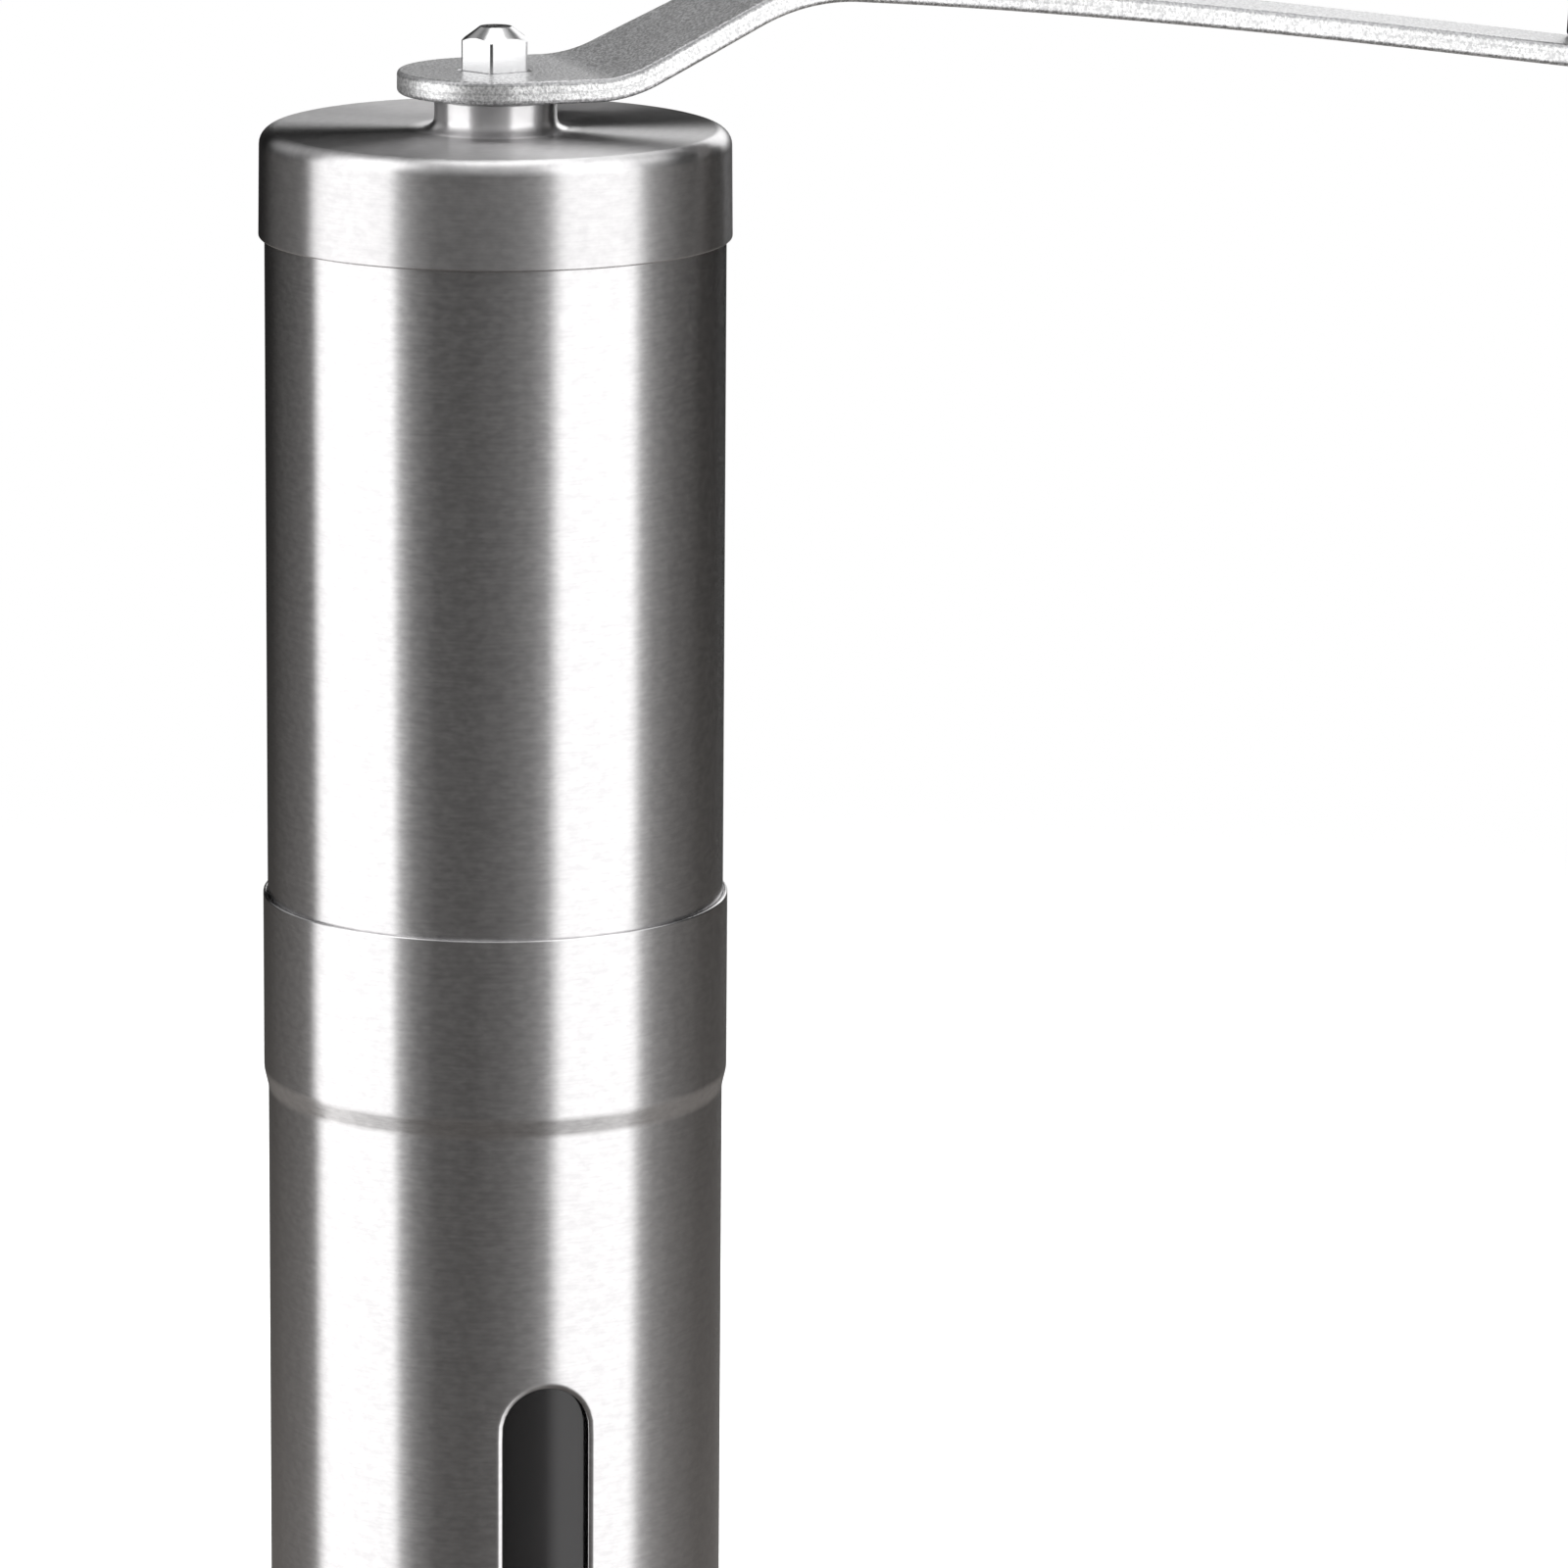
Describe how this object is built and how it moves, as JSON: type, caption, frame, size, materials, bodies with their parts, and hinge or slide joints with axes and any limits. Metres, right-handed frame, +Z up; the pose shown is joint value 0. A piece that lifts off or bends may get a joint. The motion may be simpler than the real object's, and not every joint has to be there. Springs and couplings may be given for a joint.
{
  "type": "hand crank coffee grinder",
  "caption": "Slim steel hand coffee grinder with a conical ceramic mill, a lid, a windowed grounds cup and a bent crank with a turning knob.",
  "frame": {"origin": "centre of the flat face it stands on", "axes": "+Z up along the shaft, +X from the shaft towards the knob with the crank at rest, +Y completes the frame"},
  "size_m": [0.162, 0.0472, 0.2186],
  "materials": {
    "brushed_steel": "brushed round the tube",
    "turned_steel": "bright turned",
    "tumbled_steel": "tumbled, fine grain",
    "smoke_plastic": "clear smoke, gloss",
    "black_plastic": "moulded, fine texture",
    "white_acetal": "satin",
    "white_ceramic": "fired, unglazed",
    "brass": "machined",
    "knob_plastic": "satin black"
  },
  "bodies": {
    "grounds_cup": {"cup_shell": "brushed_steel", "window_liner": "smoke_plastic"},
    "housing": {"hopper_tube": "brushed_steel", "bean_frame": "black_plastic", "upper_bush": "white_acetal", "lower_bush": "white_acetal", "outer_burr": "white_ceramic", "burr_holder": "black_plastic"},
    "lid": {"lid_shell": "brushed_steel"},
    "spindle": {"drive_shaft": "turned_steel", "shoulder_washer": "turned_steel", "thrust_washer": "turned_steel", "pressure_spring": "turned_steel"},
    "mill": {"inner_burr": "white_ceramic", "burr_hub": "black_plastic", "spring_seat": "turned_steel"},
    "dial": {"adjusting_dial": "black_plastic", "dial_insert": "brass"},
    "crank": {"crank_arm": "tumbled_steel", "knob_pin": "turned_steel", "knob_washer": "turned_steel"},
    "knob": {"knob_grip": "knob_plastic", "knob_cap": "knob_plastic"}
  },
  "joints": [
    {"name": "housing_lift", "type": "slide", "parent": "grounds_cup", "child": "housing", "axis": [0, 0, 1], "range_m": [0, 0.07]},
    {"name": "lid_lift", "type": "slide", "parent": "housing", "child": "lid", "axis": [0, 0, 1], "range_m": [0, 0.03]},
    {"name": "crank_spin", "type": "hinge", "parent": "housing", "child": "spindle", "pos_m": [0, 0, 0.15], "axis": [0, 0, 1], "continuous": true},
    {"name": "crank_lift", "type": "slide", "parent": "spindle", "child": "crank", "axis": [0, 0, 1], "range_m": [0, 0.05]},
    {"name": "knob_spin", "type": "hinge", "parent": "crank", "child": "knob", "pos_m": [0.1248, 0, 0.19086], "axis": [0.1392, 0, 0.9903], "continuous": true},
    {"name": "burr_travel", "type": "slide", "parent": "spindle", "child": "mill", "axis": [0, 0, 1], "range_m": [-0.00076, 0.00076], "deforming": ["pressure_spring"]},
    {"name": "dial_turn", "type": "hinge", "parent": "mill", "child": "dial", "pos_m": [0, 0, 0.087], "axis": [0, 0, 1], "range_deg": [-270, 270]}
  ],
  "couplings": [
    {"joint": "lid_lift", "follows": "crank_lift", "ratio": 0.6},
    {"joint": "burr_travel", "follows": "dial_turn", "m_per_rad": 0.00015915}
  ]
}
